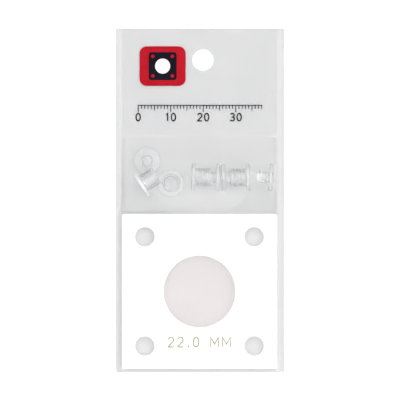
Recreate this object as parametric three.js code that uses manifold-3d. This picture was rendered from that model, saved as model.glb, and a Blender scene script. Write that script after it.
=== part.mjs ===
// Bagged coin holder kit: three loose square plates and four two-part plastic
// screws, two of them packed apart, in a clear hanging bag lying on its back.
//
// Millimetres. Origin: bottom centre of the bag's box. +X to the right and +Y
// towards the header when the front is looked at, +Z up out of the front.

import * as THREE from 'three';
import { mergeVertices } from 'three/addons/utils/BufferGeometryUtils.js';
import Module from 'manifold-3d';

// ---- driving dimensions -----------------------------------------------------

// bag
const BAG_W = 51.6;
const BAG_L = 105.5;
const FILM_T = 0.2;              // stands in for film about 0.05 thick
const LAYER_GAP = 0.05;          // between the two films where they are welded
const HANG_HOLE_D = 6.5;
const HANG_HOLE_X = 0.91;
const HANG_HOLE_Y = 43.19;
const HEADER_Y = 19.7;           // weld between header and pocket

// plates
const PLATE_W = 47.6;
const PLATE_CORNER_R = 0.5;
const PLATE_X = -0.15;
const PLATE_Y = -27.95;
const CLEAR_T = 1.6;
const CENTRE_T = 2.0;
const COIN_HOLE_D = 22.0;
const SCREW_HOLE_D = 5.9;
const SCREW_PITCH = 33.5;        // between screw holes, both ways
const PLATE_GAP = 0.1;

// pocket of the front film
const WALL_GAP = 0.2;            // plate edge to film
const ROOF_GAP = 0.2;            // front plate to film
const SCREW_ROOF_Z = 9.0;        // underside of the film over the screws
const WALL_CHAMFER = 0.25;

// two-part screws
const HEAD_D = 8.4;
const HEAD_T = 1.2;
const HEAD_EDGE = 0.25;
const BARREL_D = 5.4;
const BARREL_L = 4.8;
const BORE_D = 4.0;
const BORE_DEPTH = 5.0;
const SHANK_D = 3.8;
const SHANK_L = 4.0;
const SLOT_W = 1.1;
const SLOT_DEPTH = 0.6;
const SCREW_OPEN = 6.4;          // between the two heads as packed
const SCREW_REST_GAP = 0.1;      // heads to back film
const ROUND = 24;                // sides of a round piece

// pieces packed apart: middle of the head's outer face and the way the piece
// points from it, in degrees from +X; one with no turn stands on its head
const LOOSE = [
  { name: 'screw_post_1', x: -18.43, y: 4.38, turn: 33.7 },
  { name: 'slotted_screw_1', x: -16.28, y: 12.05 },
  { name: 'screw_post_2', x: -8.91, y: 5.3 },
  { name: 'slotted_screw_2', x: 22.4, y: 7.0, turn: 176 },
];

// screws packed with the post part of the way on: centre of each and the way
// its slotted head points, in degrees from +X
const MATED = [
  { number: 3, x: 1.74, y: 7.1, turn: -2 },
  { number: 4, x: 10.95, y: 7.0, turn: 181.5 },
];

// ---- helpers ----------------------------------------------------------------

const wasm = await Module();
wasm.setup();

function closed(geometry) {
  const bare = geometry.index ? geometry.toNonIndexed() : geometry.clone();
  bare.deleteAttribute('normal');
  bare.deleteAttribute('uv');
  return mergeVertices(bare, 1e-5);
}

function solid(geometry) {
  const g = closed(geometry);
  return new wasm.Manifold(new wasm.Mesh({
    numProp: 3,
    vertProperties: Float32Array.from(g.attributes.position.array),
    triVerts: Uint32Array.from(g.index.array),
  }));
}

function geometryOf(manifold) {
  const m = manifold.getMesh();
  const g = new THREE.BufferGeometry();
  g.setAttribute('position', new THREE.BufferAttribute(Float32Array.from(m.vertProperties), 3));
  g.setIndex(new THREE.BufferAttribute(Uint32Array.from(m.triVerts), 1));
  g.computeVertexNormals();
  return g;
}

function plastic(color, roughness, opacity = 1) {
  return new THREE.MeshStandardMaterial({
    color, roughness, metalness: 0, opacity, transparent: opacity < 1,
  });
}

function piece(name, geometry, material) {
  const mesh = new THREE.Mesh(geometry, material);
  mesh.name = name;
  return mesh;
}

function circle(x, y, d) {
  const path = new THREE.Path();
  path.absarc(x, y, d / 2, 0, Math.PI * 2, true);
  return path;
}

// a solid of revolution about Z from an (r, z) outline that starts and ends on the axis
function turned(outline) {
  const g = new THREE.LatheGeometry(outline.map(([r, z]) => new THREE.Vector2(r, z)), ROUND);
  g.rotateX(Math.PI / 2);
  return g;
}

// ---- bag --------------------------------------------------------------------

const film = () => plastic(0xe6e7e8, 0.12, 0.3);

function backFilm() {
  const w = BAG_W / 2;
  const l = BAG_L / 2;
  const outline = new THREE.Shape([
    new THREE.Vector2(-w, -l), new THREE.Vector2(w, -l),
    new THREE.Vector2(w, l), new THREE.Vector2(-w, l),
  ]);
  outline.holes.push(circle(HANG_HOLE_X, HANG_HOLE_Y, HANG_HOLE_D));
  return closed(new THREE.ExtrudeGeometry(outline, { depth: FILM_T, bevelEnabled: false, curveSegments: ROUND }));
}

const plateTop = FILM_T + PLATE_GAP + CLEAR_T + PLATE_GAP + CENTRE_T + PLATE_GAP + CLEAR_T;
const weldZ = FILM_T + LAYER_GAP;

// Outline of the front film across the bag where its underside is at height h
// between the side welds.
function filmSection(h) {
  const edge = BAG_W / 2;
  const l = PLATE_X - PLATE_W / 2 - WALL_GAP;
  const r = PLATE_X + PLATE_W / 2 + WALL_GAP;
  const c = Math.min(WALL_CHAMFER, (h - weldZ) / 2);
  const t = FILM_T;
  return [
    [-edge, weldZ], [l, weldZ], [l, h - c], [l + c, h], [r - c, h], [r, h - c], [r, weldZ], [edge, weldZ],
    [edge, weldZ + t], [r + t, weldZ + t], [r + t, h - c + t], [r - c + t, h + t],
    [l + c - t, h + t], [l - t, h - c + t], [l - t, weldZ + t], [-edge, weldZ + t],
  ];
}

function frontFilm() {
  const flat = weldZ + LAYER_GAP;
  const roof = plateTop + ROOF_GAP;
  const plateEnd = PLATE_Y + PLATE_W / 2;
  const stations = [
    [-BAG_L / 2, roof], [plateEnd + 0.1, roof], [plateEnd + 3.0, SCREW_ROOF_Z],
    [14.4, SCREW_ROOF_Z], [HEADER_Y, flat], [BAG_L / 2, flat],
  ];
  const rings = stations.map(([y, h]) => filmSection(h).map(([x, z]) => [x, y, z]));
  const n = rings[0].length;
  const position = rings.flat(2);
  const index = [];
  for (let s = 0; s + 1 < rings.length; s += 1) {
    for (let i = 0; i < n; i += 1) {
      const a = s * n + i;
      const b = s * n + ((i + 1) % n);
      index.push(a, a + n, b, b, a + n, b + n);
    }
  }
  const cap = (s, flip) => {
    const outline = filmSection(stations[s][1]).map(([x, z]) => new THREE.Vector2(x, z));
    for (const [a, b, c] of THREE.ShapeUtils.triangulateShape(outline, [])) {
      index.push(s * n + a, s * n + (flip ? c : b), s * n + (flip ? b : c));
    }
  };
  cap(0, false);
  cap(rings.length - 1, true);
  const g = new THREE.BufferGeometry();
  g.setAttribute('position', new THREE.BufferAttribute(new Float32Array(position), 3));
  g.setIndex(index);
  const punch = new THREE.CylinderGeometry(HANG_HOLE_D / 2, HANG_HOLE_D / 2, 4, ROUND);
  punch.rotateX(Math.PI / 2);
  punch.translate(HANG_HOLE_X, HANG_HOLE_Y, 0);
  return geometryOf(solid(g).subtract(solid(punch)));
}

// ---- plates -----------------------------------------------------------------

function plate(thickness, coinHole) {
  const w = PLATE_W / 2;
  const r = PLATE_CORNER_R;
  const outline = new THREE.Shape();
  outline.moveTo(-w + r, -w);
  outline.lineTo(w - r, -w);
  outline.absarc(w - r, -w + r, r, -Math.PI / 2, 0, false);
  outline.lineTo(w, w - r);
  outline.absarc(w - r, w - r, r, 0, Math.PI / 2, false);
  outline.lineTo(-w + r, w);
  outline.absarc(-w + r, w - r, r, Math.PI / 2, Math.PI, false);
  outline.lineTo(-w, -w + r);
  outline.absarc(-w + r, -w + r, r, Math.PI, Math.PI * 1.5, false);
  for (const sx of [-1, 1]) {
    for (const sy of [-1, 1]) {
      outline.holes.push(circle(sx * SCREW_PITCH / 2, sy * SCREW_PITCH / 2, SCREW_HOLE_D));
    }
  }
  if (coinHole) {
    const coin = circle(0, 0, COIN_HOLE_D);
    outline.holes.push(coin);
  }
  return closed(new THREE.ExtrudeGeometry(outline, { depth: thickness, bevelEnabled: false, curveSegments: ROUND / 2 }));
}

function layPlate(name, z, thickness, coinHole, material) {
  const mesh = piece(name, plate(thickness, coinHole), material);
  mesh.position.set(PLATE_X, PLATE_Y, z);
  return mesh;
}

// ---- two-part screws --------------------------------------------------------

// post: outer face of the head at z = 0, barrel towards +Z
function post() {
  const R = HEAD_D / 2;
  const top = HEAD_T + BARREL_L;
  return closed(turned([
    [0, 0], [R - HEAD_EDGE, 0], [R, HEAD_EDGE], [R, HEAD_T], [BARREL_D / 2, HEAD_T],
    [BARREL_D / 2, top], [BORE_D / 2, top], [BORE_D / 2, top - BORE_DEPTH], [0, top - BORE_DEPTH],
  ]));
}

// screw: outer face of the head at z = 0, shank towards -Z
function screw() {
  const R = HEAD_D / 2;
  const body = solid(turned([
    [0, -HEAD_T - SHANK_L], [SHANK_D / 2 - 0.3, -HEAD_T - SHANK_L], [SHANK_D / 2, -HEAD_T - SHANK_L + 0.4],
    [SHANK_D / 2, -HEAD_T], [R, -HEAD_T], [R, -HEAD_EDGE], [R - HEAD_EDGE, 0], [0, 0],
  ]));
  const slot = new THREE.BoxGeometry(HEAD_D * 2, SLOT_W, SLOT_DEPTH * 2);
  return geometryOf(body.subtract(solid(slot)));
}

const clear = () => plastic(0xe9ecee, 0.08, 0.35);
const restZ = FILM_T + SCREW_REST_GAP;

// a piece on its own, its head at the place and the rest of it pointing away
function loosePiece(place) {
  const isPost = place.name.startsWith('screw_post');
  const mesh = piece(place.name, isPost ? post() : screw(), clear());
  const holder = new THREE.Group();
  if (place.turn === undefined) {
    mesh.rotation.set(isPost ? 0 : Math.PI, 0, 0);
    holder.position.set(place.x, place.y, restZ);
  } else {
    mesh.rotation.set(0, isPost ? Math.PI / 2 : -Math.PI / 2, 0);
    holder.position.set(place.x, place.y, restZ + HEAD_D / 2);
    holder.rotation.set(0, 0, THREE.MathUtils.degToRad(place.turn));
  }
  holder.add(mesh);
  return holder;
}

// both pieces of a set on the local +X axis, centred, slotted head towards +X
function screwSet(place) {
  const set = new THREE.Group();
  const half = SCREW_OPEN / 2 + HEAD_T;
  const female = piece(`screw_post_${place.number}`, post(), clear());
  female.rotation.set(0, Math.PI / 2, 0);
  female.position.set(-half, 0, 0);
  const male = piece(`slotted_screw_${place.number}`, screw(), clear());
  male.rotation.set(0, Math.PI / 2, 0);
  male.position.set(half, 0, 0);
  set.add(female, male);
  set.position.set(place.x, place.y, restZ + HEAD_D / 2);
  set.rotation.set(0, 0, THREE.MathUtils.degToRad(place.turn));
  return set;
}

// ---- assembly ---------------------------------------------------------------

const kit = new THREE.Group();

kit.add(piece('bag_back_film', backFilm(), film()));
kit.add(piece('bag_front_film', frontFilm(), film()));

const rearZ = FILM_T + PLATE_GAP;
const centreZ = rearZ + CLEAR_T + PLATE_GAP;
const frontZ = centreZ + CENTRE_T + PLATE_GAP;
kit.add(layPlate('rear_clear_plate', rearZ, CLEAR_T, false, plastic(0xf4f4f3, 0.05, 0.3)));
kit.add(layPlate('centre_coin_plate', centreZ, CENTRE_T, true, plastic(0xfbfbfb, 0.2)));
kit.add(layPlate('front_clear_plate', frontZ, CLEAR_T, false, plastic(0xf4f4f3, 0.05, 0.3)));

LOOSE.forEach((place) => kit.add(loosePiece(place)));
MATED.forEach((place) => kit.add(screwSet(place)));

export default kit;
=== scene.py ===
import math

import bmesh
import bpy
import numpy as np
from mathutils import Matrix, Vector
from mathutils.geometry import delaunay_2d_cdt


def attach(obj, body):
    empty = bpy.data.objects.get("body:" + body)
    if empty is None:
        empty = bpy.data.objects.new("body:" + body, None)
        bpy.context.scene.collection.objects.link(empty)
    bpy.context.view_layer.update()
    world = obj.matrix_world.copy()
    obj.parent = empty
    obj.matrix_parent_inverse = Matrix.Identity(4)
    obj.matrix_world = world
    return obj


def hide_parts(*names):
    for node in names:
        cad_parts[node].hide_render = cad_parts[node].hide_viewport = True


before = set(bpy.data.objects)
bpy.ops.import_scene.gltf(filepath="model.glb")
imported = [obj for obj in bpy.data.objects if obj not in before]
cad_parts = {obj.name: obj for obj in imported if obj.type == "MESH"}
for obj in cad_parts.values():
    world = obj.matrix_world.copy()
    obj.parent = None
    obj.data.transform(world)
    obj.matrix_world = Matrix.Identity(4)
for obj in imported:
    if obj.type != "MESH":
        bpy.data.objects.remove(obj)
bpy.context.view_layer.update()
MM = 0.001

# ---- sizes, in millimetres, as in the construction ---------------------------

BAG_W, BAG_L = 51.6, 105.5
HOLE_X, HOLE_Y, HOLE_R = 0.91, 43.19, 3.25
HEADER_Y = 19.7
PLATE_W, PLATE_X, PLATE_Y = 47.6, -0.15, -27.95
PLATE_CORNER = 0.5
COIN_R, SCREW_HOLE_R, SCREW_PITCH = 11.0, 2.95, 33.5
REAR_Z, CENTRE_Z, FRONT_Z = 0.3, 2.0, 4.1
CLEAR_T, CENTRE_T = 1.6, 2.0
HEAD_R, HEAD_T, BARREL_R, BARREL_L = 4.2, 1.2, 2.7, 4.8
BORE_R, BORE_DEPTH, SHANK_R, SHANK_L = 2.0, 5.0, 1.9, 4.0
SLOT_W, SLOT_DEPTH, THREAD = 1.1, 0.6, 1.0
OPEN, AXIS_Z = 6.4, 4.5
BACK_OFF, RUN_IN = 1.5, 1.0
REST_Z = 0.3
# packed apart: middle of the head's outer face and the way the piece points, None if it stands on its head
LOOSE = [("screw_post_1", -18.43, 4.38, 33.7), ("slotted_screw_1", -16.28, 12.05, None),
         ("screw_post_2", -8.91, 5.3, None), ("slotted_screw_2", 22.4, 7.0, 176.0)]
# packed with the post part of the way on: middle, and the way the slotted head points
MATED = [(3, 1.74, 7.1, -2.0), (4, 10.95, 7.0, 181.5)]

PLATE_TOP = FRONT_Z + CLEAR_T


# ---- meshes -------------------------------------------------------------------


def add(name, points, faces, material, sharp=None, flat=None):
    """A piece from points in millimetres. Faces square to the direction flat are shaded flat, the rest smooth up to the angle sharp."""
    me = bpy.data.meshes.new(name)
    me.from_pydata((np.asarray(points, float) * MM).tolist(), [], [tuple(int(i) for i in f) for f in faces])
    me.update()
    if sharp is not None:
        square = Vector(flat) if flat is not None else None
        me.set_sharp_from_angle(angle=math.radians(sharp))
        me.polygons.foreach_set("use_smooth", [square is None or abs(p.normal.dot(square)) < 0.9999 for p in me.polygons])
    ob = bpy.data.objects.new(name, me)
    bpy.context.scene.collection.objects.link(ob)
    me.materials.append(material)
    return ob


def fill(loops):
    """Triangles over the area inside loops[0] and outside the other loops, as indices into all the loops' points in order, facing +Z."""
    points = np.concatenate(loops)
    edges, start = [], 0
    for loop in loops:
        n = len(loop)
        edges += [(start + i, start + (i + 1) % n) for i in range(n)]
        start += n
    out, _, tris, origin, _, _ = delaunay_2d_cdt([Vector(p) for p in points], edges, [], 1, 1e-6)
    back = [o[0] if o else -1 for o in origin]

    def inside(p, loop):
        x, y = loop[:, 0], loop[:, 1]
        x2, y2 = np.roll(x, -1), np.roll(y, -1)
        cross = ((y > p[1]) != (y2 > p[1])) & (p[0] < (x2 - x) * (p[1] - y) / np.where(y2 == y, 1e-12, y2 - y) + x)
        return cross.sum() % 2 == 1

    kept = []
    for t in tris:
        t = [back[i] for i in t]
        c = points[t].mean(0)
        if inside(c, loops[0]) and not any(inside(c, h) for h in loops[1:]):
            a, b, d = points[t]
            if (b[0] - a[0]) * (d[1] - a[1]) - (b[1] - a[1]) * (d[0] - a[0]) < 0:
                t = t[::-1]
            kept.append(t)
    return points, kept


def ring(x, y, r, n):
    a = np.linspace(0, 2 * math.pi, n, endpoint=False)
    return np.stack([x + r * np.cos(a), y + r * np.sin(a)], 1)


def rounded(x, y, w, h, r, n=8):
    out = []
    for k, (sx, sy) in enumerate([(1, 1), (-1, 1), (-1, -1), (1, -1)]):
        a = np.linspace(0, math.pi / 2, n) + k * math.pi / 2
        out.append(np.stack([x + sx * (w / 2 - r) + r * np.cos(a), y + sy * (h / 2 - r) + r * np.sin(a)], 1))
    return np.concatenate(out)


def set_frost_and_highlight(ob, amount):
    """How white each point of a clear piece is: sawn edges and drilled holes on the plates, and a painted highlight on
    the screws' head rims.
    """
    layer = ob.data.attributes.new("frost_and_highlight", "FLOAT", "POINT")
    layer.data.foreach_set("value", np.asarray(amount).astype(np.float32))


def slab(loops_at, z0, z1, bevel, steps=3):
    """A closed plate between z0 and z1 with rounded edges. loops_at(d) gives its outlines drawn back by d from the walls."""
    levels = []
    for k in range(steps + 1):
        a = k / steps * math.pi / 2
        levels.append((z0 + bevel * (1 - math.sin(a)), bevel * (1 - math.cos(a))))
    wall = [(z0 + bevel + 0.06, 0.0), (z1 - bevel - 0.06, 0.0)]
    levels = levels[::-1] + wall + [(z0 + z1 - z, d) for z, d in levels]
    points, faces, n_all = [], [], None
    for z, d in levels:
        loops = loops_at(d)
        flat = np.concatenate(loops)
        n_all = len(flat)
        points.append(np.column_stack([flat, np.full(n_all, z)]))
    start = 0
    for i, loop in enumerate(loops_at(0)):
        n = len(loop)
        for k in range(len(levels) - 1):
            for j in range(n):
                a, b = k * n_all + start + j, k * n_all + start + (j + 1) % n
                q = (a, b, b + n_all, a + n_all)
                faces.append(q if i == 0 else q[::-1])
        start += n
    _, tris = fill(loops_at(levels[0][1]))
    faces += [tuple(t[::-1]) for t in tris]
    top = (len(levels) - 1) * n_all
    faces += [tuple(top + i for i in t) for t in tris]
    return np.concatenate(points), faces


def plate_loops(coin):
    def at(d):
        loops = [rounded(PLATE_X, PLATE_Y, PLATE_W - 2 * d, PLATE_W - 2 * d, PLATE_CORNER - d)]
        for sx in (-1, 1):
            for sy in (-1, 1):
                loops.append(ring(PLATE_X + sx * SCREW_PITCH / 2, PLATE_Y + sy * SCREW_PITCH / 2, SCREW_HOLE_R + d, 64))
        if coin:
            loops.append(ring(PLATE_X, PLATE_Y, COIN_R + d, 160))
        return loops
    return at


def turned(rows, n):
    """A closed solid about Z. A row is (radius, z, thread depth); the first and last rows are on the axis. Threads are right-hand helices of one pitch."""
    a = np.linspace(0, 2 * math.pi, n, endpoint=False)
    points = [[0, 0, rows[0][1]]]
    for r, z, depth in rows[1:-1]:
        if depth:
            phase = (z / THREAD - a / (2 * math.pi)) % 1.0
            wave = np.clip(1.5 - np.abs(phase - 0.5) * 5.0, 0, 1)
            rr = r + depth * wave
        else:
            rr = np.full(n, r)
        points += np.stack([rr * np.cos(a), rr * np.sin(a), np.full(n, z)], 1).tolist()
    points.append([0, 0, rows[-1][1]])
    faces, m = [], len(rows) - 2
    for j in range(n):
        k = (j + 1) % n
        faces.append((0, 1 + k, 1 + j))
        for i in range(m - 1):
            p = 1 + i * n
            faces.append((p + j, p + k, p + n + k, p + n + j))
        p = 1 + (m - 1) * n
        faces.append((p + j, p + k, 1 + m * n))
    return np.array(points), faces


def corner(r0, z0, r1, z1, cr, cz, steps=4):
    """A quarter round from (r0, z0) to (r1, z1) about the centre (cr, cz)."""
    a0, a1 = math.atan2(z0 - cz, r0 - cr), math.atan2(z1 - cz, r1 - cr)
    if a1 - a0 > math.pi:
        a1 -= 2 * math.pi
    if a0 - a1 > math.pi:
        a1 += 2 * math.pi
    rad = math.hypot(r0 - cr, z0 - cz)
    return [(cr + rad * math.cos(a0 + (a1 - a0) * i / steps), cz + rad * math.sin(a0 + (a1 - a0) * i / steps), 0) for i in range(steps + 1)]


# ---- materials ----------------------------------------------------------------


def nodes_of(name):
    m = bpy.data.materials.new(name)
    m.use_nodes = True
    nt = m.node_tree
    nt.nodes.clear()
    out = nt.nodes.new("ShaderNodeOutputMaterial")
    return m, nt, out


def node(nt, kind, **sockets):
    n = nt.nodes.new(kind)
    for k, v in sockets.items():
        n.inputs[k.replace("_", " ")].default_value = v
    return n


def noise(nt, scale, detail=3.0, stretch=(1, 1, 1)):
    where = nt.nodes.new("ShaderNodeTexCoord")
    mapped = nt.nodes.new("ShaderNodeMapping")
    mapped.inputs["Scale"].default_value = stretch
    nt.links.new(where.outputs["Object"], mapped.inputs["Vector"])
    n = nt.nodes.new("ShaderNodeTexNoise")
    n.inputs["Scale"].default_value = scale
    n.inputs["Detail"].default_value = detail
    nt.links.new(mapped.outputs["Vector"], n.inputs["Vector"])
    return n


def remap(nt, value, lo, hi, a=0.0, b=1.0):
    r = nt.nodes.new("ShaderNodeMapRange")
    r.inputs["From Min"].default_value = a
    r.inputs["From Max"].default_value = b
    r.inputs["To Min"].default_value = lo
    r.inputs["To Max"].default_value = hi
    nt.links.new(value, r.inputs["Value"])
    return r.outputs["Result"]


def bump(nt, value, strength, distance):
    b = nt.nodes.new("ShaderNodeBump")
    b.inputs["Strength"].default_value = strength
    b.inputs["Distance"].default_value = distance
    nt.links.new(value, b.inputs["Height"])
    return b.outputs["Normal"]


def sheen(nt, normal, straight):
    """How much a thin sheet reflects, the same from either side: straight on, rising to all of it at grazing angles."""
    facing = node(nt, "ShaderNodeLayerWeight", Blend=0.5)
    nt.links.new(normal, facing.inputs["Normal"])
    power = nt.nodes.new("ShaderNodeMath")
    power.operation = "POWER"
    nt.links.new(facing.outputs["Facing"], power.inputs[0])
    power.inputs[1].default_value = 5.0
    return remap(nt, power.outputs[0], straight, 1.0)


def film_material(name, haze_colour):
    """Thin film: mostly see-through, a milky part from the mesh's milk layer, a gloss that grows towards grazing angles."""
    m, nt, out = nodes_of(name)
    milk = nt.nodes.new("ShaderNodeAttribute")
    milk.attribute_name = "milk"
    grain = noise(nt, 90.0, 3.0)
    spread = nt.nodes.new("ShaderNodeMath")
    spread.operation = "MULTIPLY"
    nt.links.new(milk.outputs["Fac"], spread.inputs[0])
    nt.links.new(remap(nt, grain.outputs["Fac"], 0.97, 1.03, 0.3, 0.7), spread.inputs[1])
    fine = noise(nt, 900.0, 2.0)
    normal = bump(nt, fine.outputs["Fac"], 0.05, 0.00002)
    clear = node(nt, "ShaderNodeBsdfTransparent", Color=(0.986, 0.986, 0.986, 1))
    body = node(nt, "ShaderNodeBsdfDiffuse", Color=haze_colour, Roughness=0.4)
    through = nt.nodes.new("ShaderNodeMixShader")
    nt.links.new(spread.outputs[0], through.inputs[0])
    nt.links.new(clear.outputs[0], through.inputs[1])
    nt.links.new(body.outputs[0], through.inputs[2])
    gloss = node(nt, "ShaderNodeBsdfGlossy", Color=(1, 1, 1, 1))
    rough = noise(nt, 120.0, 3.0)
    nt.links.new(remap(nt, rough.outputs["Fac"], 0.12, 0.22, 0.3, 0.7), gloss.inputs["Roughness"])
    nt.links.new(normal, gloss.inputs["Normal"])
    both = nt.nodes.new("ShaderNodeMixShader")
    nt.links.new(sheen(nt, normal, 0.025), both.inputs[0])
    nt.links.new(through.outputs[0], both.inputs[1])
    nt.links.new(gloss.outputs[0], both.inputs[2])
    nt.links.new(both.outputs[0], out.inputs["Surface"])
    return m


def clear_material(name, tint, shade, low, high, milk=0.0):
    """Clear moulded or cast plastic that lets lamps through. milk is the part of it that is cloudy, and the mesh's
    whitening layer adds to it: sawn edges on the plates, a painted highlight on the screws' head rims.
    """
    m, nt, out = nodes_of(name)
    glass = node(nt, "ShaderNodeBsdfGlass", Color=tint, IOR=1.49)
    marks = noise(nt, 180.0, 4.0)
    nt.links.new(remap(nt, marks.outputs["Fac"], low, high, 0.35, 0.7), glass.inputs["Roughness"])
    ripple = noise(nt, 60.0, 2.0)
    nt.links.new(bump(nt, ripple.outputs["Fac"], 0.04, 0.0001), glass.inputs["Normal"])
    clear = node(nt, "ShaderNodeBsdfTransparent", Color=shade)
    path = nt.nodes.new("ShaderNodeLightPath")
    soft = nt.nodes.new("ShaderNodeMath")
    soft.operation = "MAXIMUM"
    nt.links.new(path.outputs["Is Shadow Ray"], soft.inputs[0])
    nt.links.new(path.outputs["Is Diffuse Ray"], soft.inputs[1])
    cloudy = node(nt, "ShaderNodeBsdfDiffuse", Color=(0.9, 0.91, 0.92, 1))
    body = nt.nodes.new("ShaderNodeMixShader")
    frost_and_highlight = nt.nodes.new("ShaderNodeAttribute")
    frost_and_highlight.attribute_name = "frost_and_highlight"
    total = nt.nodes.new("ShaderNodeMath")
    total.operation, total.use_clamp = "ADD", True
    nt.links.new(frost_and_highlight.outputs["Fac"], total.inputs[0])
    nt.links.new(remap(nt, marks.outputs["Fac"], milk * 0.8, milk * 1.2, 0.35, 0.7), total.inputs[1])
    nt.links.new(total.outputs[0], body.inputs[0])
    nt.links.new(glass.outputs[0], body.inputs[1])
    nt.links.new(cloudy.outputs[0], body.inputs[2])
    both = nt.nodes.new("ShaderNodeMixShader")
    nt.links.new(soft.outputs[0], both.inputs[0])
    nt.links.new(body.outputs[0], both.inputs[1])
    nt.links.new(clear.outputs[0], both.inputs[2])
    nt.links.new(both.outputs[0], out.inputs["Surface"])
    return m


def solid_material(name, dark, light, rough_lo, rough_hi, scale=90.0, metallic=0.0, relief=0.02, specular=0.5, through=0.0):
    """A plastic or ink. through is the part of the lamps' light that a thin plate of it lets through."""
    m, nt, out = nodes_of(name)
    p = node(nt, "ShaderNodeBsdfPrincipled", Metallic=metallic, Specular_IOR_Level=specular)
    cloud = noise(nt, scale, 4.0)
    ramp = nt.nodes.new("ShaderNodeValToRGB")
    ramp.color_ramp.elements[0].position, ramp.color_ramp.elements[1].position = 0.3, 0.7
    ramp.color_ramp.elements[0].color, ramp.color_ramp.elements[1].color = dark, light
    nt.links.new(cloud.outputs["Fac"], ramp.inputs["Fac"])
    nt.links.new(ramp.outputs["Color"], p.inputs["Base Color"])
    marks = noise(nt, scale * 4, 3.0)
    nt.links.new(remap(nt, marks.outputs["Fac"], rough_lo, rough_hi, 0.3, 0.7), p.inputs["Roughness"])
    nt.links.new(bump(nt, marks.outputs["Fac"], relief, 0.00005), p.inputs["Normal"])
    nt.links.new(p.outputs[0], out.inputs["Surface"])
    if through:
        clear = node(nt, "ShaderNodeBsdfTransparent", Color=(through, through, through, 1))
        path = nt.nodes.new("ShaderNodeLightPath")
        both = nt.nodes.new("ShaderNodeMixShader")
        nt.links.new(path.outputs["Is Shadow Ray"], both.inputs[0])
        nt.links.new(p.outputs[0], both.inputs[1])
        nt.links.new(clear.outputs[0], both.inputs[2])
        nt.links.new(both.outputs[0], out.inputs["Surface"])
    return m


FILM_FRONT = film_material("film_front", (0.62, 0.63, 0.64, 1))
FILM_BACK = film_material("film_back", (0.3, 0.311, 0.342, 1))
ACRYLIC = clear_material("clear_acrylic", (0.97, 0.951, 0.951, 1), (1, 1, 1, 1), 0.0, 0.02)
SMOKY = clear_material("clear_acrylic_rear", (0.877, 0.867, 0.867, 1), (1, 1, 1, 1), 0.0, 0.02)
SCREW = clear_material("clear_screw", (0.966, 0.967, 0.967, 1), (0.925, 0.928, 0.93, 1), 0.1, 0.2, 0.06)
WHITE = solid_material("white_acrylic", (0.84, 0.848, 0.848, 1), (0.86, 0.868, 0.868, 1), 0.18, 0.3, 60.0, through=0.86)
GOLD = solid_material("gold_foil", (0.165, 0.155, 0.022, 1), (0.23, 0.218, 0.04, 1), 0.4, 0.6, 700.0, 0.0, 0.1, specular=0.2)
RED = solid_material("ink_red", (0.38, 0.004, 0.012, 1), (0.44, 0.008, 0.019, 1), 0.45, 0.6, 300.0, specular=0.04)
DARK = solid_material("ink_dark", (0.003, 0.003, 0.007, 1), (0.006, 0.006, 0.014, 1), 0.45, 0.6, 300.0, specular=0.04)
PALE = solid_material("ink_white", (0.8, 0.8, 0.8, 1), (0.86, 0.86, 0.86, 1), 0.3, 0.42, 300.0)
BLACK = solid_material("ink_black", (0.003, 0.003, 0.003, 1), (0.006, 0.006, 0.006, 1), 0.45, 0.6, 300.0, specular=0.04)
FLOOR = solid_material("floor_white", (0.9, 0.89, 0.872, 1), (0.915, 0.905, 0.887, 1), 0.6, 0.75, 20.0)

# ---- plates -------------------------------------------------------------------

for name, z, t, coin, material, slot in (
    ("rear_clear_plate", REAR_Z, CLEAR_T, False, SMOKY, "clear_acrylic"),
    ("centre_coin_plate", CENTRE_Z, CENTRE_T, True, WHITE, "white_acrylic"),
    ("front_clear_plate", FRONT_Z, CLEAR_T, False, ACRYLIC, "clear_acrylic"),
):
    ob = add(name + "_finished", *slab(plate_loops(coin), z, z + t, 0.09), material, 40, (0, 0, 1))
    height = np.array([v.co.z for v in ob.data.vertices]) / MM
    set_frost_and_highlight(ob, 0.35 * ((height > z + 1e-4) & (height < z + t - 1e-4)))  # sawn edges and drilled holes
    ob.visible_shadow = coin  # the clear plates' tint is all in what is seen through them
    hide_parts(name)
    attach(ob, name)

# ---- two-part screws ----------------------------------------------------------


def post_rows():
    top = HEAD_T + BARREL_L
    rows = [(0, 0.06, 0), (0.45, 0.06, 0), (0.55, 0.0, 0), (2.2, 0.0, 0)]
    rows += corner(HEAD_R - 0.4, 0, HEAD_R, 0.4, HEAD_R - 0.4, 0.4)
    rows += [(HEAD_R, 0.46, 0), (HEAD_R, HEAD_T - 0.24, 0)]
    rows += corner(HEAD_R, HEAD_T - 0.18, HEAD_R - 0.18, HEAD_T, HEAD_R - 0.18, HEAD_T - 0.18, 3)
    rows += corner(BARREL_R + 0.22, HEAD_T, BARREL_R, HEAD_T + 0.22, BARREL_R + 0.22, HEAD_T + 0.22, 3)
    rows += [(BARREL_R, HEAD_T + 0.3, 0), (BARREL_R, top - 0.28, 0)]
    rows += corner(BARREL_R, top - 0.2, BARREL_R - 0.2, top, BARREL_R - 0.2, top - 0.2, 3)
    rows += [(BORE_R + 0.2, top, 0), (BORE_R, top - 0.2, 0)]
    z, low = top - 0.35, top - BORE_DEPTH + 0.35
    steps = int((z - low) / (THREAD / 12))
    rows += [(BORE_R, z + (low - z) * i / steps, 0.14 * min(1, i / 6, (steps - i) / 6)) for i in range(steps + 1)]
    rows += [(BORE_R, top - BORE_DEPTH + 0.15, 0), (1.2, top - BORE_DEPTH, 0), (0, top - BORE_DEPTH - 0.12, 0)]
    return rows


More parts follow.
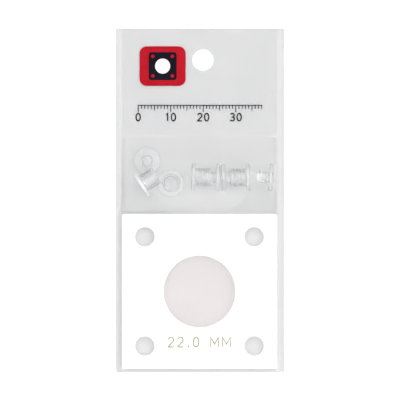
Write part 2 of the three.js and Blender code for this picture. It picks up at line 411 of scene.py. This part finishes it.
def screw_rows():
    tip = -HEAD_T - SHANK_L
    rows = [(0, tip, 0), (1.1, tip, 0), (1.35, tip + 0.08, 0)]
    z, high = tip + 0.2, -HEAD_T - 0.45
    steps = int((high - z) / (THREAD / 12))
    rows += [(1.48, z + (high - z) * i / steps, 0.4 * min(1, i / 6, (steps - i) / 6)) for i in range(steps + 1)]
    rows += corner(1.55, -HEAD_T - 0.25, 1.8, -HEAD_T, 1.8, -HEAD_T - 0.25, 3)
    rows += corner(HEAD_R - 0.18, -HEAD_T, HEAD_R, -HEAD_T + 0.18, HEAD_R - 0.18, -HEAD_T + 0.18, 3)
    rows += [(HEAD_R, -HEAD_T + 0.24, 0), (HEAD_R, -0.46, 0)]
    rows += corner(HEAD_R, -0.4, HEAD_R - 0.4, 0, HEAD_R - 0.4, -0.4)
    rows += [(2.2, 0.0, 0), (0, 0.0, 0)]
    return rows


def slotted(points, faces):
    """The screw with its driver slot cut across the head."""
    body = add("slot_body", points, faces, SCREW)
    w, d, r = SLOT_W / 2, SLOT_DEPTH, HEAD_R * 1.3
    box = [(x, y, z) for x in (-r, r) for y in (-w, w) for z in (-d, 1.0)]
    quads = [(0, 1, 3, 2), (4, 6, 7, 5), (0, 4, 5, 1), (2, 3, 7, 6), (0, 2, 6, 4), (1, 5, 7, 3)]
    knife = add("slot_knife", box, quads, SCREW)
    cut = body.modifiers.new("slot", "BOOLEAN")
    cut.operation, cut.object, cut.solver = "DIFFERENCE", knife, "EXACT"
    done = body.evaluated_get(bpy.context.evaluated_depsgraph_get())
    bm = bmesh.new()
    bm.from_mesh(done.to_mesh())
    done.to_mesh_clear()
    bmesh.ops.remove_doubles(bm, verts=bm.verts, dist=3e-6)
    bmesh.ops.dissolve_degenerate(bm, dist=3e-6, edges=bm.edges)
    bmesh.ops.triangulate(bm, faces=[f for f in bm.faces if len(f.verts) > 4])
    bm.verts.index_update()
    out = np.array([v.co for v in bm.verts]) / MM, [tuple(v.index for v in f.verts) for f in bm.faces]
    bm.free()
    for ob in (body, knife):
        me = ob.data
        bpy.data.objects.remove(ob)
        bpy.data.meshes.remove(me)
    return out


def way(turn):
    return np.array([math.cos(math.radians(turn)), math.sin(math.radians(turn)), 0.0])


def place(points, at, up, spin):
    """The piece turned by spin about its own Z, with that Z along up, and its origin at a point."""
    side = np.array([0, 0, 1.0]) if abs(up[2]) < 0.5 else np.array([1.0, 0, 0])
    x = side * math.cos(spin) + np.cross(up, side) * math.sin(spin)
    return np.asarray(at) + points[:, :1] * x + points[:, 1:2] * np.cross(up, x) + points[:, 2:] * up


post_mesh = turned(post_rows(), 72)
screw_mesh = slotted(*turned(screw_rows(), 72))
half = OPEN / 2 + HEAD_T
pieces = []
RIM_HIGHLIGHT = {"screw_post_1": 0.5}  # painted highlight: this one's head rim is whitened most, for the bright glow of light caught at its edge
for name, x, y, turn in LOOSE:
    out = np.array([0, 0, 1.0]) if turn is None else way(turn)
    at = (x, y, REST_Z if turn is None else AXIS_Z)
    pieces.append((name, at, out if name.startswith("screw_post") else -out))
for number, x, y, turn in MATED:
    middle = np.array([x, y, AXIS_Z])
    pieces.append((f"screw_post_{number}", middle - half * way(turn), way(turn)))
    pieces.append((f"slotted_screw_{number}", middle + half * way(turn), way(turn)))
for i, (name, at, up) in enumerate(pieces):
    shape = post_mesh if name.startswith("screw_post") else screw_mesh
    ob = add(name + "_finished", place(shape[0], at, up, 0.5 + 0.8 * i), shape[1], SCREW, 50, up)
    # painted highlight: every head rim is whitened a little, more on pieces lying down, for light glowing at their
    # edges
    rim = np.clip((np.hypot(shape[0][:, 0], shape[0][:, 1]) - HEAD_R + 0.3) / 0.2, 0, 1)
    set_frost_and_highlight(ob, RIM_HIGHLIGHT.get(name, 0.12 if abs(up[2]) < 0.5 else 0.04) * rim)
    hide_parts(name)
    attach(ob, name)

# ---- bag films ----------------------------------------------------------------

STEP = 0.4
WELD_Z = 0.36


def on_lines(c, lo, hi):
    k = np.arange(math.ceil((lo - c) / STEP), math.floor((hi - c) / STEP) + 1)
    return c + k * STEP


def film_lines():
    xs = np.concatenate([
        [-25.8, -25.4, -25.0, -24.72, -24.56, -24.44, -24.36, -24.28, -24.2, -24.12, -24.04],
        on_lines(HOLE_X, -23.9, 23.4),
        [23.55, 23.74, 23.82, 23.9, 23.98, 24.06, 24.14, 24.26, 24.42, 24.7, 25.0, 25.4, 25.8],
    ])
    past_plate = PLATE_Y + PLATE_W / 2 + 0.05  # the film stays up until it is clear of the plates' end
    ys = np.sort(np.concatenate([[-BAG_L / 2, -52.5, past_plate, BAG_L / 2], on_lines(HOLE_Y, -52.2, 52.4)]))
    return xs, ys


def screw_tops(X, Y):
    """Height of the tops of the screws over the whole of their travel."""
    top = np.full(X.shape, -1.0)
    rods = []
    for name, x, y, turn in LOOSE:
        long, r = (BARREL_L, BARREL_R) if name.startswith("screw_post") else (SHANK_L, SHANK_R)
        if turn is None:
            away = np.hypot(X - x, Y - y)
            for radius, h in ((HEAD_R, REST_Z + HEAD_T), (r, REST_Z + HEAD_T + long)):
                top = np.where(away < radius + 0.2, np.maximum(top, h), top)
        else:
            rods += [(x, y, turn, 0, HEAD_T, HEAD_R), (x, y, turn, HEAD_T, HEAD_T + long, r)]
    end = OPEN / 2 + HEAD_T
    for _, x, y, turn in MATED:
        rods += [(x, y, turn, OPEN / 2, end, HEAD_R), (x, y, turn, -end - BACK_OFF, -OPEN / 2 + RUN_IN, HEAD_R), (x, y, turn, -OPEN / 2 - BACK_OFF, OPEN / 2, BARREL_R)]
    for x, y, turn, lo, hi, r in rods:
        c, s = math.cos(math.radians(turn)), math.sin(math.radians(turn))
        u, v = (X - x) * c + (Y - y) * s, -(X - x) * s + (Y - y) * c
        over = (u > lo - 0.25) & (u < hi + 0.25) & (np.abs(v) < r + 0.15)
        top = np.where(over, np.maximum(top, AXIS_Z + np.sqrt(np.clip(r * r - v * v, 0, None))), top)
    return top


def draped(xs, ys, puff):
    """The front film stretched over the plates and screws from weld to weld: a sheet under light pressure that rests on what is below it."""
    X, Y = np.meshgrid(xs, ys)
    floor = np.full(X.shape, WELD_Z)
    over_plate = (X > PLATE_X - PLATE_W / 2 - 0.1) & (X < PLATE_X + PLATE_W / 2 + 0.1) & (Y < PLATE_Y + PLATE_W / 2 + 0.1)
    floor = np.where(over_plate, PLATE_TOP + 0.05, floor)
    beside = (X > -23.6) & (X < 23.25) & (Y < HEADER_Y - 2.5) & ~over_plate  # the weld's fold holds the film off the back
    floor = np.where(beside, 1.5, floor)
    tops = screw_tops(X, Y)
    tops = np.where(tops > 0, tops + 0.12, WELD_Z)
    bumps = tops.copy()
    for _ in range(2):  # film bridges the steps between heads and barrels
        grown = bumps.copy()
        for dy in (-1, 0, 1):
            for dx in (-1, 0, 1):
                grown = np.maximum(grown, np.roll(np.roll(bumps, dy, 0), dx, 1))
        bumps = grown
    for _ in range(10):
        bumps[1:-1, 1:-1] = (4 * bumps[1:-1, 1:-1] + 2 * (bumps[:-2, 1:-1] + bumps[2:, 1:-1] + bumps[1:-1, :-2] + bumps[1:-1, 2:]) + bumps[:-2, :-2] + bumps[:-2, 2:] + bumps[2:, :-2] + bumps[2:, 2:]) / 16
    floor = np.maximum(floor, np.maximum(bumps, tops))
    free_side = Y > PLATE_Y + PLATE_W / 2 + 2.0
    held = (X < np.where(free_side, -23.95, -24.35)) | (X > np.where(free_side, 23.6, 24.1)) | (Y > HEADER_Y)
    z = np.where(held, WELD_Z, floor)
    hl, hr = np.diff(xs)[:-1][None, :], np.diff(xs)[1:][None, :]
    wl, wr = 2 / (hl * (hl + hr)), 2 / (hr * (hl + hr))
    gy = np.diff(ys)
    hd, hu = gy[:-1][:, None], gy[1:][:, None]
    wd, wu = 2 / (hd * (hd + hu)), 2 / (hu * (hd + hu))
    total = wl + wr + wd + wu
    push = np.where(Y > PLATE_Y + PLATE_W / 2, puff, 0.0)[1:-1, 1:-1]
    free = ~held[1:-1, 1:-1]
    rows, cols = np.indices(X.shape)
    colour = ((rows + cols) % 2)[1:-1, 1:-1]
    for _ in range(700):
        for c in (0, 1):
            want = (wl * z[1:-1, :-2] + wr * z[1:-1, 2:] + wd * z[:-2, 1:-1] + wu * z[2:, 1:-1] + push) / total
            inner = z[1:-1, 1:-1]
            new = np.maximum(inner + 1.88 * (want - inner), floor[1:-1, 1:-1])
            z[1:-1, 1:-1] = np.where(free & (colour == c), new, inner)
        z[0] = np.maximum(z[1], floor[0])
    for _ in range(5):  # film is too stiff for knife edges
        soft = z.copy()
        soft[1:-1, 1:-1] = (4 * z[1:-1, 1:-1] + 2 * (z[:-2, 1:-1] + z[2:, 1:-1] + z[1:-1, :-2] + z[1:-1, 2:]) + z[:-2, :-2] + z[:-2, 2:] + z[2:, :-2] + z[2:, 2:]) / 16
        loose = (Y > PLATE_Y + PLATE_W / 2 + 0.4) & ~held
        z = np.where(loose, np.maximum(soft, floor), z)
    return X, Y, z, floor, held


def waves(X, Y, seed, lengths, turn=None):
    rng = np.random.default_rng(seed)
    out = np.zeros_like(X)
    for length in lengths:
        for _ in range(3):
            a = rng.uniform(0, math.pi) if turn is None else turn + rng.normal(0, 0.25)
            out += np.sin((X * math.cos(a) + Y * math.sin(a)) * 2 * math.pi / length + rng.uniform(0, 6.28)) * length
    return out / np.abs(out).max()


def crease(X, Y, p, q, height, width, bow=0.0):
    """A ridge in the film from p to q that dies out at its ends."""
    p, q = np.array(p, float), np.array(q, float)
    d = q - p
    n = np.hypot(*d)
    t = ((X - p[0]) * d[0] + (Y - p[1]) * d[1]) / n ** 2
    off = ((X - p[0]) * -d[1] + (Y - p[1]) * d[0]) / n - bow * 4 * t * (1 - t)
    ends = np.clip(t, 0, 1) * np.clip(1 - t, 0, 1) * 4
    return height * np.sqrt(np.clip(ends, 0, 1)) * np.exp(-np.abs(off / width) ** 1.3)


def sheet_mesh(name, xs, ys, z, material, milk):
    """A grid sheet with the hang hole: the grid is drawn out round a ring of cells that is left open."""
    X, Y = np.meshgrid(xs, ys)
    dx, dy = X - HOLE_X, Y - HOLE_Y
    m = np.maximum(np.abs(dx), np.abs(dy))
    inner, outer = 7 * STEP, 15 * STEP
    t = np.clip((m - inner) / (outer - inner), 0, 1)
    safe = np.where(m < 1e-9, 1, m)
    qx, qy = dx / safe, dy / safe
    qn = np.hypot(qx, qy)
    qn = np.where(qn < 1e-9, 1, qn)
    near = m < outer - 1e-6
    px = np.where(near, HOLE_X + (1 - t) * qx / qn * HOLE_R + t * qx * outer, X)
    py = np.where(near, HOLE_Y + (1 - t) * qy / qn * HOLE_R + t * qy * outer, Y)
    hole = m < inner - 1e-6
    number = np.full(X.shape, -1)
    number[~hole] = np.arange((~hole).sum())
    ok = ~(hole[:-1, :-1] | hole[1:, :-1] | hole[:-1, 1:] | hole[1:, 1:])
    # the open cells are those inside the ring
    cx, cy = (X[:-1, :-1] + X[1:, 1:]) / 2 - HOLE_X, (Y[:-1, :-1] + Y[1:, 1:]) / 2 - HOLE_Y
    ok &= np.maximum(np.abs(cx), np.abs(cy)) > inner
    quads = np.stack([number[:-1, :-1], number[:-1, 1:], number[1:, 1:], number[1:, :-1]], -1)[ok]
    points = np.stack([px, py, z], -1)[~hole]
    ob = add(name, points, quads, material, 180)
    layer = ob.data.attributes.new("milk", "FLOAT", "POINT")
    layer.data.foreach_set("value", milk[~hole].astype(np.float32))
    return ob


def soft_step(v, a, b):
    t = np.clip((v - a) / (b - a), 0, 1)
    return t * t * (3 - 2 * t)


xs, ys = film_lines()
X, Y, z, floor, held = draped(xs, ys, 0.05)
plate_end = PLATE_Y + PLATE_W / 2
pocket = soft_step(Y, plate_end + 0.3, plate_end + 2.5) * (1 - soft_step(Y, HEADER_Y - 1.2, HEADER_Y)) * soft_step(X, -24.2, -22.6) * (1 - soft_step(X, 22.4, 24.0))

rng = np.random.default_rng(41)
fold = np.zeros_like(X)
for p, q, h, w, b in (
    ((-23.4, -3.2), (-19.5, 1.5), 0.3, 0.5, 0.3),
    ((23.1, -3.2), (21.0, 2.5), 0.3, 0.5, -0.3),
    ((-21.0, 8.5), (-22.8, 15.5), 0.2, 0.6, 0.3),
    ((-2.5, 11.0), (-4.5, 18.0), 0.16, 0.7, 0.4),
    ((15.0, 11.0), (14.0, 18.5), 0.16, 0.7, -0.4),
    ((6.3, 3.0), (6.8, -3.4), 0.2, 0.6, 0.3),
    ((-12.0, 1.5), (-13.5, -3.4), 0.15, 0.6, 0.2),
):
    fold += crease(X, Y, p, q, h, w, b)
for _ in range(9):  # puckers at the header weld
    x0 = rng.uniform(-22, 22)
    fold += crease(X, Y, (x0, HEADER_Y + 0.3), (x0 + rng.normal(0, 1.2), HEADER_Y - rng.uniform(2.0, 5.0)), rng.uniform(0.04, 0.12), rng.uniform(0.4, 0.7), rng.normal(0, 0.2))
slack = (waves(X, Y, 5, (6.0, 9.0, 14.0)) + 1) / 2
z = z + pocket * (fold + 0.2 * slack)
z = z + np.where(Y <= plate_end + 0.3, (0.03 + 0.05 * (waves(X, Y, 9, (11.0, 17.0, 26.0)) + 1)) * soft_step(X, -23.9, -21) * (1 - soft_step(X, 20.8, 23.6)), 0)
lip = 1 - soft_step(Y, -BAG_L / 2, -BAG_L / 2 + 2.0)
z = z + lip * (0.12 + 0.1 * np.sin(X * 0.5 + 1.0)) * soft_step(X, -24.0, -20) * (1 - soft_step(X, 20, 23.7))
# header: nearly flat, a little wavy away from the print
edge = soft_step(np.abs(X), 17, 25) + 0.6 * soft_step(Y, 47.5, 52)
z = z + np.where(Y > HEADER_Y + 1.0, 0.12 * edge * (waves(X, Y, 12, (13.0, 21.0, 34.0)) + 1) / 2, 0)

strip = 1 - soft_step(X, -24.3, -23.8) * (1 - soft_step(X, 23.5, 24.0))
below = 1 - soft_step(Y, HEADER_Y - 0.5, HEADER_Y + 0.1)
on_plate = 1 - soft_step(Y, plate_end - 0.6, plate_end - 0.05)
inside = (1 - strip) * below
loose_part = inside * (1 - on_plate)
foot = (1 - soft_step(Y, -52.0, -51.6)) * (1 - strip)
# milkier film along the pocket's side folds: film gathered in the fold, and painted shade for the fold's dark line
side_fold_shade = np.exp(-((X + 23.55) / 0.45) ** 2) + np.exp(-((X - 23.0) / 0.4) ** 2)
front_milk = 0.03 + 0.01 * inside * on_plate + 0.09 * loose_part + 0.12 * side_fold_shade * loose_part
front_film = sheet_mesh("front_film_sheet", xs, ys, z, FILM_FRONT, front_milk)

zb = 0.05 + 0.04 * (waves(X, Y, 21, (15.0, 25.0, 40.0)) + 1) / 2
# painted shade: the back film in the pocket just above the plates' upper end is made milkier, so darker
shade_near_plate = (1 - soft_step(Y, -3.0, 7.0)) * (1 - soft_step(X, -11, -8)) + 1.2 * (1 - soft_step(Y, -1.0, 4.0)) * soft_step(X, -9, -5)
gap = (0.1 * np.exp(-((X + 24.15) / 0.3) ** 2) + 0.27 * np.exp(-((X - 23.95) / 0.35) ** 2)) * on_plate  # painted light: the back film is made clearer in a thin line along each side of the plates, lifting their shade there
# clearer film along the header weld: the fused seal, and painted light lifting the shade of the fold there
weld = np.exp(-((Y - HEADER_Y - 0.05) / 0.35) ** 2) * (1 - strip)
# painted light and shade: the side strips beside the plates are made clearer, less so next to the left edge of the
# plates, so a shadow stays there
plate_side_light_shade = strip * (1 - soft_step(Y, plate_end - 1.0, plate_end + 3.0)) * np.where(X < 0, 0.065 + 0.125 * soft_step(-X, 25.1, 25.7), 0.02)
# painted shadow: a milkier, darker line on the back film just past the plates' upper end, on the left
shade_above_plate_end = np.exp(-((Y - plate_end - 0.4) / 0.5) ** 2) * (1 - soft_step(X, -9, -5)) * (1 - strip)
# painted light and shade below the plates: in the foot band the back film is made clearer, most at the bag's bottom
# edge, so it stays darker next to the plates' lower end
back_milk = 0.525 - 0.09 * strip * (1 - below) - 0.08 * strip * below - plate_side_light_shade - (0.147 - 0.04 * shade_near_plate) * loose_part - 0.21 * inside * on_plate * (1 - foot) + 0.1 * shade_above_plate_end - (0.03 + 0.16 * np.exp(-((Y + 52.5) / 0.15) ** 2)) * foot - 0.08 * weld - gap
cut_edge = np.clip(np.maximum(1 - (BAG_W / 2 - np.abs(X)) / 0.4, 1 - (BAG_L / 2 - np.abs(Y)) / 0.3), 0, 1)
back_milk = 0.71 * np.clip(back_milk + 0.3 * cut_edge, 0.02, 1)
back_film = sheet_mesh("back_film_sheet", xs, ys, zb, FILM_BACK, back_milk)
for ob, node_name in ((front_film, "bag_front_film"), (back_film, "bag_back_film")):
    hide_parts(node_name)
    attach(ob, "bag")

# ---- marks --------------------------------------------------------------------


def arc(x, y, rx, ry, a0, a1, n=14):
    a = np.radians(np.linspace(a0, a1, n))
    return [(x + rx * math.cos(t), y + ry * math.sin(t)) for t in a]


GLYPHS = {
    "0": (0.62, [arc(0.31, 0.5, 0.28, 0.5, 90, 450, 28)]),
    "1": (0.42, [[(0.06, 0.8), (0.26, 1.0), (0.26, 0.0)]]),
    "2": (0.62, [arc(0.31, 0.72, 0.27, 0.28, 165, -30, 14) + [(0.03, 0.0), (0.6, 0.0)]]),
    "3": (0.62, [arc(0.3, 0.75, 0.25, 0.25, 150, -85, 14) + arc(0.3, 0.26, 0.29, 0.26, 80, -150, 14)]),
    ".": (0.3, [[(0.06, 0.01), (0.24, 0.01)], [(0.06, 0.1), (0.24, 0.1)]]),
    "M": (0.88, [[(0.04, 0.0), (0.04, 1.0), (0.44, 0.28), (0.84, 1.0), (0.84, 0.0)]]),
    " ": (0.45, []),
}


def strokes(text, size, gap):
    x, out = 0.0, []
    for c in text:
        w, lines = GLYPHS[c]
        out += [[((x + px) * size, py * size) for px, py in line] for line in lines]
        x += w + gap
    return out, (x - gap) * size


def ribbon(line, width):
    """Outline of a stroke with square-cut ends and mitred corners."""
    p = np.array(line, float)
    closed_loop = np.hypot(*(p[0] - p[-1])) < 1e-6
    d = np.diff(p, axis=0)
    d /= np.hypot(d[:, 0], d[:, 1])[:, None]
    n = np.stack([-d[:, 1], d[:, 0]], 1)
    if closed_loop:
        before, after = np.vstack([n[-1:], n]), np.vstack([n, n[:1]])
    else:
        before, after = np.vstack([n[:1], n]), np.vstack([n, n[-1:]])
    m = before + after
    m /= np.maximum(np.hypot(m[:, 0], m[:, 1]), 1e-9)[:, None]
    k = 1 / np.clip((m * before).sum(1), 0.45, 1)
    off = m * (k * width / 2)[:, None]
    return p + off, p - off, closed_loop


def stamp(name, lines, width, z0, thick, material, body):
    """Flat strokes of the given thickness as one mesh."""
    points, faces = [], []
    for line in lines:
        left, right, loop = ribbon(line, width)
        n, s = len(left), len(points)
        for p in (left, right):
            for level in (z0, z0 + thick):
                points += np.column_stack([p, np.full(n, level)]).tolist()
        l0, l1, r0, r1 = s, s + n, s + 2 * n, s + 3 * n
        for i in range(n - 1):
            j = i + 1
            faces += [(l1 + i, r1 + i, r1 + j, l1 + j), (l0 + i, l0 + j, r0 + j, r0 + i), (l0 + i, l1 + i, l1 + j, l0 + j), (r0 + i, r0 + j, r1 + j, r1 + i)]
        if not loop:
            e = n - 1
            faces += [(l0, r0, r1, l1), (l0 + e, l1 + e, r1 + e, r0 + e)]
    ob = add(name, points, faces, material)
    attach(ob, body)
    return ob


def printed(name, loops, z0, material, thick=0.02):
    points, tris = fill(loops)
    n = len(points)
    both = np.vstack([np.column_stack([points, np.full(n, z0)]), np.column_stack([points, np.full(n, z0 + thick)])])
    faces = [tuple(t[::-1]) for t in tris] + [tuple(n + i for i in t) for t in tris]
    start = 0
    for k, loop in enumerate(loops):
        m = len(loop)
        for i in range(m):
            a, b = start + i, start + (i + 1) % m
            q = (a, b, b + n, a + n)
            ccw = ((loop[:, 0] * np.roll(loop[:, 1], -1)) - (np.roll(loop[:, 0], -1) * loop[:, 1])).sum() > 0
            faces.append(q if ccw == (k == 0) else q[::-1])
        start += m
    ob = add(name, both, faces, material)
    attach(ob, "bag")
    return ob


# size mark, stamped in gold on the centre plate
lines, width = strokes("22.0 MM", 2.95, 0.36)
x0, y0 = -0.2 - width / 2, -45.0
stamp("size_mark", [[(x0 + px, y0 + py) for px, py in line] for line in lines], 0.42, CENTRE_Z + CENTRE_T + 0.005, 0.03, GOLD, "centre_coin_plate")

# header print: a plain pictogram and a millimetre scale
ink = WELD_Z + 0.03
bx, by = -11.5, 41.3
printed("pictogram_field", [rounded(bx, by, 14.2, 12.2, 2.2)], ink, RED)
printed("pictogram_plate", [rounded(bx, by, 8.6, 8.6, 0.8), ring(bx, by, 2.35, 48)] + [ring(bx + sx * 3.0, by + sy * 3.0, 0.55, 20) for sx in (-1, 1) for sy in (-1, 1)], ink + 0.03, DARK)
printed("pictogram_hole", [ring(bx, by, 2.3, 48)], ink + 0.03, PALE)
ticks = []
left, base = -19.0, 29.2
for k in range(39):
    tall = 2.0 if k % 10 == 0 else 1.55 if k % 5 == 0 else 1.05
    ticks.append([(left + k, base), (left + k, base - tall)])
stamp("scale_ticks", ticks + [[(left - 0.13, base + 0.05), (left + 38.13, base + 0.05)]], 0.25, ink, 0.02, BLACK, "bag")
digits = []
for k, text in ((0, "0"), (10, "10"), (20, "20"), (30, "30")):
    lines, width = strokes(text, 2.3, 0.3)
    digits += [[(left + k - width / 2 + px, base - 4.75 + py) for px, py in line] for line in lines]
stamp("scale_numbers", digits, 0.38, ink, 0.02, BLACK, "bag")

# ---- stage, light and camera --------------------------------------------------

floor_me = bpy.data.meshes.new("floor")
floor_me.from_pydata([(-1.2, -1.2, -0.00005), (1.2, -1.2, -0.00005), (1.2, 1.2, -0.00005), (-1.2, 1.2, -0.00005)], [], [(0, 1, 2, 3)])
floor_ob = bpy.data.objects.new("floor", floor_me)
bpy.context.scene.collection.objects.link(floor_ob)
floor_me.materials.append(FLOOR)


def lamp(name, where, to, size, watts, colour=(1, 1, 1)):
    light = bpy.data.lights.new(name, "AREA")
    light.shape, light.size, light.energy, light.color = "SQUARE", size, watts, colour
    ob = bpy.data.objects.new(name, light)
    ob.location = where
    ob.rotation_euler = (Vector(to) - Vector(where)).to_track_quat("-Z", "Y").to_euler()
    bpy.context.scene.collection.objects.link(ob)


lamp("key", (0.57, 0.57, 1.41), (0, 0, 0), 0.66, 6.0)
lamp("above", (0.22, 0.22, 2.07), (0, 0, 0), 2.09, 33.8)
lamp("fill_left", (-1.45, 0.22, 1.32), (0, 0, 0), 1.32, 4.65)
lamp("fill_low", (0.22, -1.45, 1.32), (0, 0, 0), 1.32, 4.65)
lamp("fill_far", (-0.22, 1.45, 1.32), (0, 0, 0), 1.1, 3.6)
lamp("fill_right", (1.45, -0.22, 1.32), (0, 0, 0), 1.1, 3.6)

world = bpy.data.worlds.new("studio")
bpy.context.scene.world = world
world.use_nodes = True
nt = world.node_tree
nt.nodes.clear()
out = nt.nodes.new("ShaderNodeOutputWorld")
walls = node(nt, "ShaderNodeBackground", Color=(1, 1, 1, 1), Strength=0.75)
lit = node(nt, "ShaderNodeBackground", Color=(1, 1, 1, 1), Strength=0.32)
sweep = node(nt, "ShaderNodeBackground", Color=(1, 1, 1, 1), Strength=1.1)
path = nt.nodes.new("ShaderNodeLightPath")
mix = nt.nodes.new("ShaderNodeMixShader")
nt.links.new(path.outputs["Is Diffuse Ray"], mix.inputs[0])
nt.links.new(walls.outputs[0], mix.inputs[1])
nt.links.new(lit.outputs[0], mix.inputs[2])
seen = nt.nodes.new("ShaderNodeMixShader")
nt.links.new(path.outputs["Is Camera Ray"], seen.inputs[0])
nt.links.new(mix.outputs[0], seen.inputs[1])
nt.links.new(sweep.outputs[0], seen.inputs[2])
nt.links.new(seen.outputs[0], out.inputs["Surface"])

scene = bpy.context.scene
scene.view_settings.view_transform = "Standard"
scene.view_settings.look = "None"
scene.view_settings.exposure = 0.0
scene.view_settings.gamma = 1.0

camera = bpy.data.cameras.new("camera")
camera.lens, camera.sensor_width = 520.0, 36.0
camera.clip_start, camera.clip_end = 0.01, 20.0
eye = bpy.data.objects.new("camera", camera)
span = 400 * 0.3071 * MM  # the picture's width at the plates' height
eye.location = (0, 0.0001, 0.004 + camera.lens / camera.sensor_width * span)
eye.rotation_euler = (0, 0, 0)
scene.collection.objects.link(eye)
scene.camera = eye
